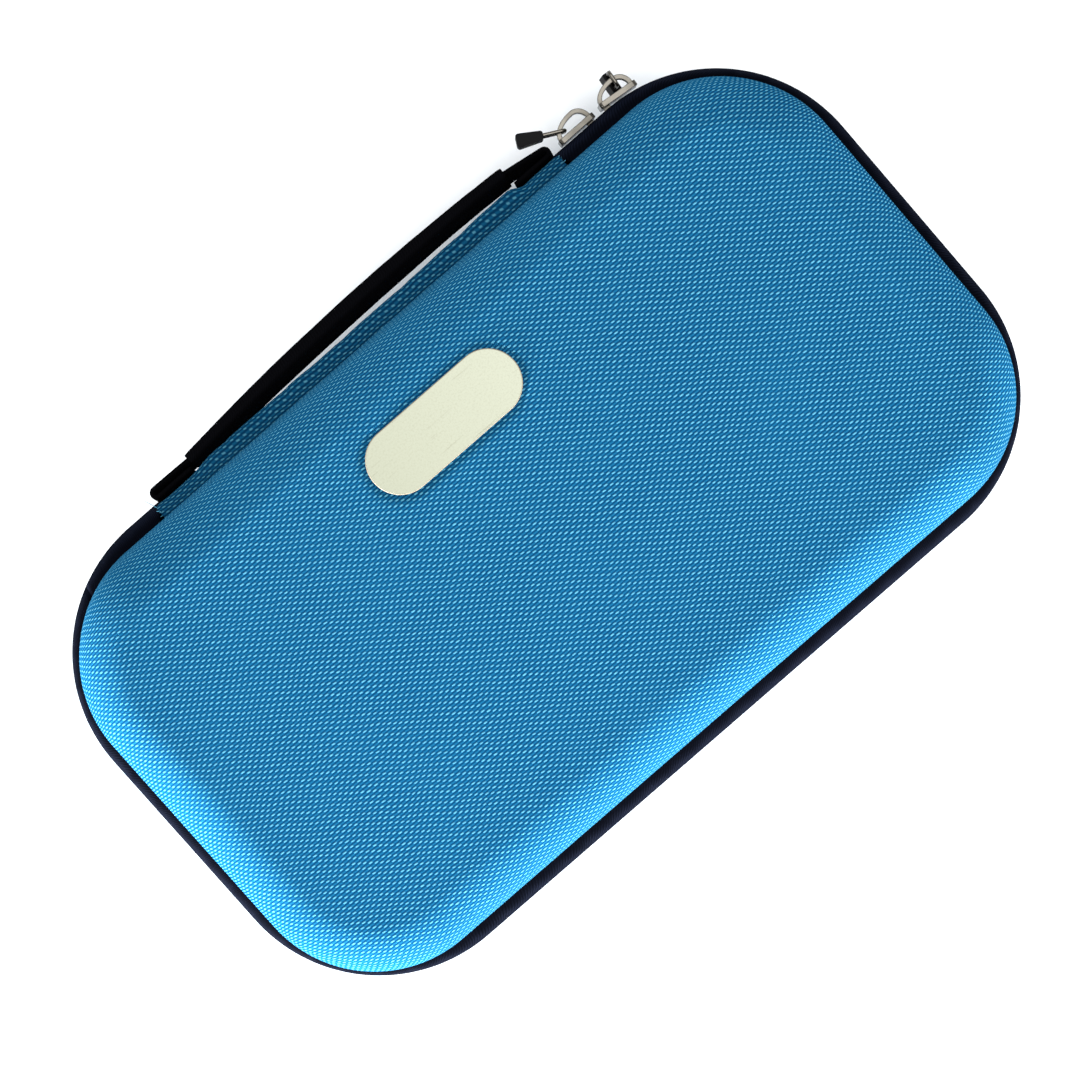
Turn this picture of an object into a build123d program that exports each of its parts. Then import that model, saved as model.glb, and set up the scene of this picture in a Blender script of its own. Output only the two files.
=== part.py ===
from build123d import *
import os
from math import asin, atan2, cos, degrees, pi, radians, sin, sqrt, tan

os.makedirs("parts", exist_ok=True)

# A clamshell zip case, moulded in two halves that are joined by a fabric spine.
# X runs along the case, +Y points to the spine and the carrying handle, +Z points up,
# and the origin is the middle of the flat face that the base rests on. Millimetres.

# overall form, measured over the zip line
case_length = 276.0
case_width = 156.5
corner_radius = 48.0
base_height = 31.0
lid_height = 31.0

# moulded shells
foot_inset_x = 3.6  # the shell's foot lies inside the zip line by this much at the short sides
foot_inset_y = 4.25  # and by this much at the long sides
corner_tuck = 8.0  # how much tighter the foot's corners are than the zip line's
rim_height = 7.0  # from the parting plane to the shell's foot
draft = 6.0  # degrees
shoulder_radius = 16.0
wall = 4.5
shoulder_cut = 7.0  # bevel that follows the shoulder inside
rim_wall = 2.4  # pressed edge that the zip is sewn to
recess_height = 13.0  # top of the pressed edge, from the parting plane
lining_thickness = 0.8

# zip
tape_thickness = 0.7
tape_inset = 0.15  # outer face of the tape, inside the zip line
tape_gap = 1.0  # between the two tapes' edges, where the sliders' dividers run
tape_flat = 3.0  # flat stretch of the tape beside the teeth, from the parting plane
bulge_height = 5.4  # where the tape starts to turn under the shell's foot
bulge_share = 0.3  # how far it has turned in at that height
tooth_pitch = 3.0
tooth_width = 1.15
tooth_depth = 1.9
tooth_reach = 2.6  # outer end of a tooth, from the parting plane
tooth_hook = 0.7  # how far a closed tooth reaches across the parting plane
tooth_seat = 0.02  # running gap between the tape and the teeth
open_run = 8.0  # stretch past the first corner where the teeth stand apart
twist_reach = 20.3  # the zip twists with the spine out to here, past the start of the corner
stop_length = 1.6
stop_gap = 0.1  # between a stop and the end of the tapes, and half the gap to the first tooth
binding_thickness = 0.8
binding_start = 6.6

# spine
spine_inset_left = 10.0  # its ends, from where the corners start
spine_inset_right = 19.0
spine_bulge = 0.9  # its outer face, inside the zip line
spine_crease = 5.0  # where it meets the shells' feet, inside the zip line
spine_shoulder = 5.0  # half height of its outer face
spine_edge_radius = 2.4
crease_lip = 0.6  # the cover's first turn out of the crease
crease_lip_drop = 0.9

# nameplate
plate_length = 50.8
plate_width = 19.05
plate_thickness = 0.8
plate_edge = 0.15
plate_x = -2.2
plate_y = 41.4
glue_thickness = 0.3
glue_margin = 0.5  # glue pad inside the plate's edge
plate_recess = 1.0
plate_margin = 0.8  # recess around the plate

# sliders
slider_length = 12.4
slider_corner = 1.2
slider_nose = 5.0  # half width of the front plate at its wide end
slider_tail = 4.2
front_plate = 1.6
front_gap = 0.2  # between the front plate and the tapes
channel = 3.5  # depth from the zip line to the back plate
back_plate = 1.1
back_half = 3.75
flange_width = 0.8
flange_reach = 1.4
divider_length = 2.2
divider_width = 0.6
divider_setback = 0.8  # from the slider's wide end
slider_2_run = 9.0  # from the spine's end
slider_1_turn = 6.0  # degrees round the first corner
arch_half = 5.8
arch_height = 4.45
arch_peak = 1.8  # the arch's highest point, from the slider's middle
arch_bar = 1.35
arch_width = 2.6

# pulls
link_wire = 1.1
link_play = 0.25  # between the link and the arch
link_length = 8.6
link_corner = 0.65  # how far its corners are cut, on the wire's middle line
tab_start = 6.4
tab_length = 7.8
tab_root = 2.6
tab_tip = 4.2
tab_width = 6.0
tab_corner = 0.8
pull_2_lean = 27.7  # degrees out from the zip line
pull_2_seat = -2.6  # place of its pivot along the slider
pull_2_play = 0.4  # under the arch
pull_1_seat = 1.6

# handle, in a plane that leans with the webbing; "out" is measured from the sewn tails' backs
handle_lean = 17.0  # degrees, top edge outward
handle_drop = 4.5  # middle of the sewn tails, below the parting plane
webbing_width = 9.0
webbing_thickness = 1.5
anchor_length = 12.0
anchor_lift = 0.1  # between the spine and the sewn tail
fold_gap = 1.2
grip_inset_left = 15.2  # its ends, from the spine's ends
grip_inset_right = 14.4
grip_left_out = 3.2
grip_middle_out = 7.1
grip_right_out = 5.7
grip_width = 11.0
grip_thickness = 3.6
grip_edge = 1.0  # bevel

# inside
pocket_edge = -15.0  # y of the mesh pocket's mouth
mesh_thickness = 0.8
hem_width = 8.0
hem_thickness = 1.6
strap_width = 25.0
strap_length = 84.0
strap_thickness = 1.4
patch_length = 10.0
patch_thickness = 0.8
patch_overhang = 1.0

parting_height = base_height
half_width = case_width / 2
half_length = case_length / 2
corner_start = half_length - corner_radius  # where the zip line's corners start, from the middle
spine_left = spine_inset_left - corner_start
spine_right = corner_start - spine_inset_right
twist_end_x = corner_start + twist_reach
foot_length = case_length - 2 * foot_inset_x
foot_width = case_width - 2 * foot_inset_y
foot_radius = corner_radius - corner_tuck
tape_back = tape_inset + tape_thickness
rim_back = foot_inset_y + rim_wall  # back of the pressed edge, inside the zip line


def half_plane(side, height):
    """Plane at a height from the parting plane, facing away from it; side is 1 for lid, -1 for base."""
    return Plane(origin=(0, 0, parting_height + side * height), x_dir=(1, 0, 0), z_dir=(0, 0, side))


def zip_size(inset):
    """Length, width and corner radius of the zip line's outline, drawn in by an inset."""
    return case_length - 2 * inset, case_width - 2 * inset, corner_radius - inset


def foot_size(inset):
    """The same for the outline of the shells' feet."""
    return foot_length - 2 * inset, foot_width - 2 * inset, foot_radius - inset


def between(one, other, share):
    """An outline part of the way from one to another."""
    return tuple(a + share * (b - a) for a, b in zip(one, other))


def save(piece, name):
    piece.part.label = name
    export_step(piece.part, f"parts/{name}.step")


def bowl(side, inset, height, shoulder, edge):
    """The solid form of a half case, from its foot to this height, drawn in by an inset."""
    with BuildPart() as form:
        with BuildSketch(half_plane(side, rim_height)):
            RectangleRounded(*foot_size(inset))
        extrude(amount=height - rim_height, taper=draft)
        top = form.faces().sort_by(Axis.Z)[-1 if side > 0 else 0]
        edge(top.edges(), shoulder)
    return form.part


def stack(side, stations):
    """A solid of ruled bands through outlines at heights from the parting plane."""
    with BuildPart() as solid:
        for (low, low_size), (high, high_size) in zip(stations, stations[1:]):
            with BuildSketch(half_plane(side, low)):
                RectangleRounded(*low_size)
            with BuildSketch(half_plane(side, high)):
                RectangleRounded(*high_size)
            loft(ruled=True)
    return solid.part


def back_block(from_x, to_x):
    """A block over the spine side of the case between two places along it."""
    with BuildPart() as block:
        with Locations(((from_x + to_x) / 2, half_width, parting_height)):
            Box(to_x - from_x, 2 * corner_radius, 2 * (lid_height + base_height))
    return block.part


# ---- moulded shells and their linings

def half_case(side, height):
    """Shell and lining of one half; the shell's foot is pressed thin where the zip is sewn to it."""
    inner = wall + lining_thickness
    outer = bowl(side, 0, height, shoulder_radius, fillet)
    hollow = bowl(side, wall, height - wall, shoulder_cut, chamfer)
    lined = bowl(side, inner, height - inner, shoulder_cut - lining_thickness * (2 - sqrt(2)), chamfer)
    with BuildPart() as shell:
        add(outer)
        add(hollow, mode=Mode.SUBTRACT)
        with BuildSketch(half_plane(side, rim_height)):
            RectangleRounded(*foot_size(rim_wall))
        extrude(amount=recess_height - rim_height, mode=Mode.SUBTRACT)
    with BuildPart() as lining:
        add(hollow)
        add(lined, mode=Mode.SUBTRACT)
        split(bisect_by=half_plane(side, recess_height), keep=Keep.TOP)
    return shell, lining


base_shell, base_lining = half_case(-1, base_height)
save(base_shell, "base_shell")
save(base_lining, "base_lining")

lid_form, lid_lining = half_case(1, lid_height)
save(lid_lining, "lid_lining")

plate_floor = Plane((plate_x, plate_y, parting_height + lid_height - plate_recess))
with BuildPart() as lid_shell:
    add(lid_form)
    with BuildSketch(plate_floor):
        SlotOverall(plate_length + 2 * plate_margin, plate_width + 2 * plate_margin)
    extrude(amount=plate_recess, mode=Mode.SUBTRACT)
save(lid_shell, "lid_shell")

# ---- nameplate, bare, glued in its recess

with BuildPart() as nameplate_glue:
    with BuildSketch(plate_floor):
        SlotOverall(plate_length - 2 * glue_margin, plate_width - 2 * glue_margin)
    extrude(amount=glue_thickness)
save(nameplate_glue, "nameplate_glue")

with BuildPart() as nameplate:
    with BuildSketch(plate_floor.offset(glue_thickness)):
        SlotOverall(plate_length, plate_width)
    extrude(amount=plate_thickness)
    chamfer(nameplate.faces().sort_by(Axis.Z)[-1].edges(), plate_edge)
save(nameplate, "nameplate")

# ---- zip tapes, which bulge out from under the shells' feet to the zip line

def tape_ring(side):
    """One tape all round: flat beside the teeth, then turning in to the pressed edge it is sewn to."""
    outer_edge, outer_seat = zip_size(tape_inset), foot_size(rim_wall)
    inner_edge, inner_seat = zip_size(tape_back), foot_size(rim_wall + tape_thickness)
    turn = tape_thickness / 2
    outer = stack(side, [
        (tape_gap / 2, outer_edge),
        (tape_flat, outer_edge),
        (bulge_height, between(outer_edge, outer_seat, bulge_share)),
        (rim_height, outer_seat),
        (recess_height, outer_seat),
    ])
    inner = stack(side, [
        (tape_gap / 2, inner_edge),
        (tape_flat - turn, inner_edge),
        (bulge_height - turn, between(inner_edge, inner_seat, bulge_share)),
        (rim_height - turn, inner_seat),
        (recess_height, inner_seat),
    ])
    with BuildPart() as ring:
        add(outer)
        add(inner, mode=Mode.SUBTRACT)
    return ring.part


lid_ring = tape_ring(1)
base_ring = tape_ring(-1)
spine_block = back_block(spine_left, spine_right)
twist_block = back_block(-twist_end_x, twist_end_x)
right_block = back_block(spine_right, twist_end_x)
left_block = back_block(-twist_end_x, spine_left)

with BuildPart() as lid_zip_tape:
    add(lid_ring)
    add(twist_block, mode=Mode.SUBTRACT)
save(lid_zip_tape, "lid_zip_tape")

with BuildPart() as base_zip_tape:
    add(base_ring)
    add(spine_block, mode=Mode.SUBTRACT)
save(base_zip_tape, "base_zip_tape")

# ---- zip teeth: where the zip is closed, the lid's teeth stand between the base's

quarter = corner_radius * pi / 2
side_run = case_width - 2 * corner_radius
front_run = case_length - 2 * corner_radius
zip_runs = [spine_inset_right, quarter, side_run, quarter, front_run, quarter, side_run, quarter,
            spine_inset_left]
zip_length = sum(zip_runs)


def zip_place(distance):
    """Place on the zip line at a distance from the spine's right end: x, y and heading in degrees."""
    x, y, heading = spine_right, half_width, 0.0
    for number, run in enumerate(zip_runs):
        step = min(distance, run)
        if number % 2:
            turn = step / corner_radius
            start = radians(heading)
            x += corner_radius * (sin(start) - sin(start - turn))
            y += corner_radius * (cos(start - turn) - cos(start))
            heading -= degrees(turn)
        else:
            x += step * cos(radians(heading))
            y += step * sin(radians(heading))
        distance -= step
        if distance <= 0:
            break
    return x, y, heading


def along(distance, outward, height):
    """Location on the zip line: X along the zip, Y outward from the case."""
    x, y, heading = zip_place(distance)
    return Location((x, y, parting_height), (0, 0, heading)) * Location((0, outward, height))


def tooth_places(side, first, last, shift):
    """Locations of one side's teeth between two distances, as (apart, closed) lists."""
    apart, closed = [], []
    middle = -(tape_back + tooth_seat + tooth_depth / 2)
    free_until = zip_runs[0] + zip_runs[1] + open_run
    count = int(zip_length / tooth_pitch)
    for number in range(1, count):
        distance = (number + shift) * tooth_pitch
        if not first <= distance - tooth_width / 2 <= distance + tooth_width / 2 <= last:
            continue
        is_open = distance < free_until
        inner = tape_gap / 2 if is_open else -tooth_hook
        place = along(distance, middle, side * (inner + tooth_reach) / 2)
        (apart if is_open else closed).append(place)
    return apart, closed


def fill_teeth(apart, closed):
    """The teeth themselves, added to the open part."""
    if apart:
        with Locations(*apart):
            Box(tooth_width, tooth_depth, tooth_reach - tape_gap / 2)
    if closed:
        with Locations(*closed):
            Box(tooth_width, tooth_depth, tooth_reach + tooth_hook)


twist_turn = asin(twist_reach / corner_radius)
twist_run = zip_runs[0] + corner_radius * twist_turn  # length of zip that twists at the right end
left_twist_run = zip_runs[-1] + corner_radius * twist_turn
stop_start = stop_length + 4 * stop_gap
lid_right_teeth = tooth_places(1, stop_start, twist_run, 0)
lid_teeth = tooth_places(1, twist_run, zip_length - left_twist_run, 0)
lid_left_teeth = tooth_places(1, zip_length - left_twist_run, zip_length - stop_start, 0)
base_teeth = tooth_places(-1, stop_start, zip_length - stop_start, 0.5)

with BuildPart() as lid_zip_teeth:
    fill_teeth(*lid_teeth)
save(lid_zip_teeth, "lid_zip_teeth")

with BuildPart() as base_zip_teeth:
    fill_teeth(*base_teeth)
save(base_zip_teeth, "base_zip_teeth")

# the lid's tape and teeth beside the spine, which twist as the lid opens
with BuildPart() as lid_zip_end_right:
    add(lid_ring)
    add(right_block, mode=Mode.INTERSECT)
    fill_teeth(*lid_right_teeth)
save(lid_zip_end_right, "lid_zip_end_right")

with BuildPart() as lid_zip_end_left:
    add(lid_ring)
    add(left_block, mode=Mode.INTERSECT)
    fill_teeth(*lid_left_teeth)
save(lid_zip_end_left, "lid_zip_end_left")

stop_middle = -(tape_back + tooth_seat + tooth_depth / 2)
with BuildPart() as zip_stops:
    with Locations(*[along(distance, stop_middle, -(tooth_reach + tape_gap / 2) / 2)
                     for distance in (stop_gap + stop_length / 2, zip_length - stop_gap - stop_length / 2)]):
        Box(stop_length, tooth_depth, tooth_reach - tape_gap / 2)
save(zip_stops, "zip_stops")

# ---- binding over the seam inside each half

def binding(side):
    """Tape over the inside of the seam, broken at the spine."""
    with BuildPart() as ring:
        with BuildSketch(half_plane(side, binding_start)):
            RectangleRounded(*foot_size(rim_wall + tape_thickness))
            RectangleRounded(*foot_size(rim_wall + tape_thickness + binding_thickness), mode=Mode.SUBTRACT)
        extrude(amount=recess_height - binding_start)
        add(spine_block, mode=Mode.SUBTRACT)
    return ring


lid_binding = binding(1)
save(lid_binding, "lid_binding")
base_binding = binding(-1)
save(base_binding, "base_binding")

# ---- spine: a bulging outer strip and the lining tape inside it

spine_length = spine_right - spine_left
crease_y = half_width - spine_crease
spine_outer_y = half_width - spine_bulge
spine_back_y = half_width - rim_back
spine_drop = rim_height - crease_lip_drop - spine_shoulder

with BuildPart() as spine_cover:
    with BuildSketch(Plane(origin=(spine_left, 0, parting_height), x_dir=(0, 1, 0), z_dir=(1, 0, 0))):
        with BuildLine():
            edge = [(spine_back_y, rim_height), (crease_y, rim_height),
                    (crease_y + crease_lip, rim_height - crease_lip_drop), (spine_outer_y, spine_shoulder)]
            Polyline(*edge, *[(y, -z) for y, z in reversed(edge)], close=True)
        make_face()
    extrude(amount=spine_length)
    shoulders = spine_cover.edges().filter_by(Axis.X).group_by(Axis.Y)[-1]
    fillet(shoulders, spine_edge_radius)
save(spine_cover, "spine_cover")

with BuildPart() as spine_lining:
    with Locations(((spine_left + spine_right) / 2, spine_back_y - lining_thickness / 2, parting_height)):
        Box(spine_length, lining_thickness, 2 * recess_height)
save(spine_lining, "spine_lining")

# ---- sliders

slider_2_place = along(slider_2_run, 0, 0)
slider_1_place = along(zip_runs[0] + corner_radius * radians(slider_1_turn), 0, 0)


def slider_body(place, nose):
    """Front plate, divider and back plate with its two flanges; nose is 1 where the wide end is at +X."""
    half = slider_length / 2
    front = Plane(place)
    outward = Plane(origin=(place * Location((0, front_gap - tape_inset, 0))).position,
                    x_dir=front.x_dir, z_dir=front.y_dir)
    with BuildPart() as body:
        with BuildSketch(outward):
            Polygon((-nose * half, -slider_tail), (nose * half, -slider_nose),
                    (nose * half, slider_nose), (-nose * half, slider_tail), align=None)
            fillet(vertices(), slider_corner)
        extrude(amount=front_plate)
        with BuildSketch(outward.offset(-(channel + front_gap - tape_inset))):
            Rectangle(slider_length, 2 * back_half)
            fillet(vertices(), slider_corner)
        extrude(amount=-back_plate)
        flange_y = -channel + (flange_reach - back_plate) / 2
        flange_z = back_half - flange_width / 2
        with Locations(*[place * Location((0, flange_y, end * flange_z)) for end in (-1, 1)]):
            Box(slider_length - 2 * slider_corner, flange_reach + back_plate, flange_width)
        divider_x = nose * (half - divider_length / 2 - divider_setback)
        with Locations(place * Location((divider_x, -channel / 2, 0))):
            Box(divider_length, channel + back_plate, divider_width)
    return body


slider_1_body = slider_body(slider_1_place, -1)
save(slider_1_body, "slider_1_body")
slider_2_body = slider_body(slider_2_place, 1)
save(slider_2_body, "slider_2_body")

plate_top = front_gap - tape_inset + front_plate


def bridge(place):
    """The arch on the front plate that holds the pull: two quarter ellipses less two smaller ones."""
    with BuildPart() as arch:
        with BuildSketch(Plane(place * Location((arch_peak, plate_top, 0)))):
            for inset, mode in ((0, Mode.ADD), (arch_bar, Mode.SUBTRACT)):
                left = arch_half + arch_peak - inset
                right = arch_half - arch_peak - inset
                top = arch_height - inset
                with BuildLine():
                    EllipticalCenterArc((0, 0), left, top, 90, arc_size=90)
                    EllipticalCenterArc((0, 0), right, top, 0, arc_size=90)
                    Line((-left, 0), (right, 0))
                make_face(mode=mode)
        extrude(amount=arch_width / 2, both=True)
    return arch


slider_1_bridge = bridge(slider_1_place)
save(slider_1_bridge, "slider_1_bridge")
slider_2_bridge = bridge(slider_2_place)
save(slider_2_bridge, "slider_2_bridge")

# ---- pulls: a wire link through the bridge, and a moulded tab on the link

link_inner = arch_width + 2 * link_play


def pull_link(plane):
    """Link of wire along the plane's X, its near bar centred on the plane's origin."""
    length = link_length - link_wire
    with BuildSketch(plane * Location((length / 2, 0, 0))) as outline:
        Rectangle(length, link_inner + link_wire)
        chamfer(outline.vertices(), link_corner)
    loop = outline.sketch.face().outer_wire()
    with BuildPart() as link:
        with BuildSketch(Plane(origin=loop @ 0, z_dir=loop % 0)):
            RegularPolygon(link_wire / 2, 8)
        sweep(path=loop, transition=Transition.RIGHT)
    return link


def pull_tab(plane, link):
    """Tab moulded round the link's far bar, thicker towards its tip."""
    side = Plane(origin=plane.origin, x_dir=plane.x_dir, z_dir=plane.y_dir)
    end = tab_start + tab_length
    with BuildPart() as tab:
        with BuildSketch(side):
            Polygon((tab_start, -tab_root / 2), (end, -tab_tip / 2), (end, tab_tip / 2),
                    (tab_start, tab_root / 2), align=None)
            fillet(vertices(), tab_corner)
        extrude(amount=tab_width / 2, both=True)
        add(link.part, mode=Mode.SUBTRACT)
    return tab


pull_turn = radians(180 - pull_2_lean)
seat_share = (pull_2_seat - arch_peak) / (arch_half + arch_peak - arch_bar)
window = (arch_height - arch_bar) * (1 - seat_share**2) ** 0.5
pull_2_height = plate_top + window - link_wire / 2 - pull_2_play
pull_2_pivot = (slider_2_place * Location((pull_2_seat, pull_2_height, 0))).position
pull_2_plane = Plane(origin=pull_2_pivot, x_dir=(cos(pull_turn), sin(pull_turn), 0),
                     z_dir=(sin(pull_turn), -cos(pull_turn), 0))
pull_2_link = pull_link(pull_2_plane)
save(pull_2_link, "pull_2_link")
pull_2_tab = pull_tab(pull_2_plane, pull_2_link)
save(pull_2_tab, "pull_2_tab")

# the first slider's pull hangs from the bar of its bridge like a chain's link
pull_1_height = arch_width / 2 + link_play + link_wire / 2
bar_share = (pull_1_seat - arch_peak) / (arch_half + arch_peak)
pull_1_bar = plate_top + arch_height * (1 - bar_share**2) ** 0.5 - arch_bar / 2
pull_1_place = slider_1_place * Location((pull_1_seat, pull_1_bar, pull_1_height))
pull_1_plane = Plane(origin=pull_1_place.position, x_dir=(0, 0, -1), z_dir=Plane(pull_1_place).x_dir)
pull_1_link = pull_link(pull_1_plane)
save(pull_1_link, "pull_1_link")
pull_1_tab = pull_tab(pull_1_plane, pull_1_link)
save(pull_1_tab, "pull_1_tab")

# ---- carrying handle: tails sewn to the spine, folded back into webbing, and a grip sewn round it

# the tails lie against the round of the cover's lower shoulder
shoulder_turn = pi / 2 - atan2(spine_drop, spine_outer_y - crease_y - crease_lip)
shoulder_z = parting_height - spine_shoulder + spine_edge_radius * tan(shoulder_turn / 2)
lean = radians(handle_lean)
handle_z = parting_height - handle_drop
tail_y = (spine_outer_y - spine_edge_radius + (handle_z - shoulder_z) * tan(lean)
          + (spine_edge_radius + anchor_lift) / cos(lean))
handle_plane = Plane(origin=(0, tail_y, handle_z), x_dir=(1, 0, 0), z_dir=(0, sin(lean), cos(lean)))
webbing_plane = handle_plane.offset(-webbing_width / 2)
fold_radius = webbing_thickness + fold_gap / 2


def handle_anchor(end_x, inward):
    """Tail and fold of the webbing at one end; inward is 1 or -1, towards the handle's middle."""
    middle = end_x + inward * fold_radius
    with BuildPart() as tail:
        with BuildSketch(webbing_plane):
            with Locations((middle, fold_radius)):
                Circle(fold_radius)
                Circle(fold_radius - webbing_thickness, mode=Mode.SUBTRACT)
            with Locations((middle + inward * 2 * fold_radius, fold_radius)):
                Rectangle(4 * fold_radius, 4 * fold_radius, mode=Mode.SUBTRACT)
            with Locations((middle + inward * anchor_length / 2, webbing_thickness / 2)):
                Rectangle(anchor_length, webbing_thickness)
        extrude(amount=webbing_width)
    return tail


handle_anchor_left = handle_anchor(spine_left, 1)
save(handle_anchor_left, "handle_anchor_left")
handle_anchor_right = handle_anchor(spine_right, -1)
save(handle_anchor_right, "handle_anchor_right")

grip_left = spine_left + grip_inset_left
grip_right = spine_right - grip_inset_right
grip_points = [(grip_left, grip_left_out, 0), (0, grip_middle_out, 0), (grip_right, grip_right_out, 0)]
grip_line = ThreePointArc(*[handle_plane.from_local_coords(point) for point in grip_points])
grip_start = Plane(origin=grip_line @ 0, z_dir=grip_line % 0, x_dir=handle_plane.z_dir)
grip_end = Plane(origin=grip_line @ 1, z_dir=grip_line % 1, x_dir=handle_plane.z_dir)


def handle_end(fold_x, grip_x, grip_out, grip_face, kept):
    """Webbing from a fold to the grip's end, cut off there by the grip's face."""
    fold_out, half = 2 * fold_radius - webbing_thickness / 2, webbing_thickness / 2
    with BuildPart() as strap:
        with BuildSketch(webbing_plane):
            Polygon((fold_x, fold_out - half), (grip_x, grip_out - half),
                    (grip_x, grip_out + half), (fold_x, fold_out + half), align=None)
        extrude(amount=webbing_width)
        split(bisect_by=grip_face, keep=kept)
    return strap


handle_end_left = handle_end(spine_left + fold_radius, grip_left + webbing_thickness,
                             grip_left_out, grip_start, Keep.BOTTOM)
save(handle_end_left, "handle_end_left")
handle_end_right = handle_end(spine_right - fold_radius, grip_right - webbing_thickness,
                              grip_right_out, grip_end, Keep.TOP)
save(handle_end_right, "handle_end_right")


def grip_sweep(width, thickness, edge=0):
    """A bar along the grip's line, with bevelled edges where edge is given."""
    with BuildPart() as bar:
        with BuildLine():
            add(grip_line)
        with BuildSketch(grip_start) as section:
            Rectangle(width, thickness)
            if edge:
                chamfer(section.vertices(), edge)
        sweep()
    return bar.part


sleeve = grip_sweep(grip_width, grip_thickness, grip_edge)
core = grip_sweep(webbing_width, webbing_thickness)

with BuildPart() as handle_grip:
    add(sleeve)
    add(core, mode=Mode.SUBTRACT)
save(handle_grip, "handle_grip")

with BuildPart() as handle_core:
    add(core)
save(handle_core, "handle_core")

# ---- inside: a mesh pocket in the lid and an elastic strap in the base

pocket_inset = rim_wall + tape_thickness + binding_thickness
with BuildPart() as mesh_pocket:
    with BuildSketch(half_plane(1, recess_height - mesh_thickness)):
        RectangleRounded(*foot_size(pocket_inset))
        with Locations((0, pocket_edge - foot_width / 2)):
            Rectangle(foot_length, foot_width, mode=Mode.SUBTRACT)
    extrude(amount=mesh_thickness)
save(mesh_pocket, "mesh_pocket")

with BuildPart() as pocket_hem:
    with Locations((0, pocket_edge - hem_width / 2, parting_height + recess_height - hem_thickness / 2)):
        Box(foot_length - 2 * pocket_inset, hem_width, hem_thickness)
save(pocket_hem, "pocket_hem")

strap_z = wall + lining_thickness
with BuildPart() as retaining_strap:
    with Locations((0, 0, strap_z + strap_thickness / 2)):
        Box(strap_width, strap_length, strap_thickness)
save(retaining_strap, "retaining_strap")

with BuildPart() as strap_patches:
    patch_y = (strap_length - patch_length) / 2
    patch_z = strap_z + strap_thickness + patch_thickness / 2
    with Locations((0, -patch_y, patch_z), (0, patch_y, patch_z)):
        Box(strap_width + patch_overhang, patch_length, patch_thickness)
save(strap_patches, "strap_patches")
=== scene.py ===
import math

import bmesh
import bpy
import numpy as np
from mathutils import Matrix, Vector


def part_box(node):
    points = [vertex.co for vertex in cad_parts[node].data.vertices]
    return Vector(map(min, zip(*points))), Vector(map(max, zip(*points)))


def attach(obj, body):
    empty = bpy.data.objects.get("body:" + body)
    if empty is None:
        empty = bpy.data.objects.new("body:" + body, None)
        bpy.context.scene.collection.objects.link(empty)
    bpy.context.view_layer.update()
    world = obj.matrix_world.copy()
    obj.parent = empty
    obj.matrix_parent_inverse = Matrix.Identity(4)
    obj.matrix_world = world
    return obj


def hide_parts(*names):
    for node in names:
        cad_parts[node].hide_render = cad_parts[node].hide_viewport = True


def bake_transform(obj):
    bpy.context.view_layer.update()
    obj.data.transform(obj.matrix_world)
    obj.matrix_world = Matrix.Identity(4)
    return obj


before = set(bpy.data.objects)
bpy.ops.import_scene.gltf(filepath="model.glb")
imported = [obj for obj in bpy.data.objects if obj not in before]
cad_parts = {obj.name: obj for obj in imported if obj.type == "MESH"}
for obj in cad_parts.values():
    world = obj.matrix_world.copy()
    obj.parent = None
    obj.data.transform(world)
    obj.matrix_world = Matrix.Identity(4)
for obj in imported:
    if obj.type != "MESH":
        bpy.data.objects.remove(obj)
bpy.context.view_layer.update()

seed = np.random.default_rng(7)
print("scene: frame loaded,", len(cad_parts), "nodes")

# The case lies closed: X along it, Y to the spine and the handle, Z up. Places are in millimetres
# and are made metres only where a mesh is written.

case = {
    "parting": 31.0,  # height where the two halves meet
    "zip": (276.0, 156.5, 48.0),  # length, width and corner radius over the zip
    "foot": (268.8, 148.0, 40.0),  # the same for the shells' feet
    "footHeight": 7.0,  # from the parting plane
    "height": 31.0,  # of each half
    "draft": 9.0, "innerDraft": 6.0,  # degrees
    "trim": 1.1,  # the cloth's foot stands this far inside the foot's outline
    "shoulder": 16.0,
    "wall": 4.5,
    "edge": 2.4, "edgeTop": 13.0,  # thickness of the pressed edge, and where it ends
    "lip": 0.6,  # past the wall, at the edge's end
    "flange": 3.7,  # how far in the lining's flange begins
    "liningSkins": ((0.04, 0.02), (0.8, 0.2)),  # each skin's depth past the wall, and its flange's fall
    "crownX": 2.4, "crownY": 1.6,  # how far the lid's top falls to its sides
    "columns": 576,  # points round an outline
    "lidRows": (12, 26, 62),  # rings up the wall, round the shoulder and over the top
    "baseRows": (12, 26, 46), "innerRows": (3, 8, 8), "liningRows": (5, 12, 20),
    "pinhole": 0.02,  # a plain top's last ring, as a share of its first
}
spine = {"left": -80.0, "right": 71.0}  # its cut ends
runs = 9  # an outline has nine runs: four corners and five straights


def grid(*parts):
    # one array of places from arrays that fill one another out
    return np.stack(np.broadcast_arrays(*parts), -1)


def circle(count):
    return np.arange(count) / count * 2 * math.pi


def squared(wave, size, power):
    # a side of a superellipse: size sign(w) |w|^power
    return size * np.sign(wave) * np.abs(wave) ** power


def unit(vectors):
    return vectors / np.linalg.norm(vectors, axis=1)[:, None]


def lengthsOf(line):
    # distance along a line to each of its points
    return np.concatenate([[0], np.cumsum(np.hypot(*np.diff(line, axis=0).T))])


def along(share, low, high):
    return low + (high - low) * share


def smooth(value, low, high):
    # 3t^2 - 2t^3 between low and high
    t = np.clip((value - low) / (high - low), 0, 1)
    return t * t * (3 - 2 * t)


def wander(place, scale, turn=0.0):
    # a quiet wave that never repeats in view: half the sum of sin(place / scale * f + p) / n
    waves = [(1 + 0.618 * k * 1.7, turn + 2.4 * k, 1 + k) for k in range(5)]
    return sum(np.sin(place / scale * f + p) / n for f, p, n in waves) / 2


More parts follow.
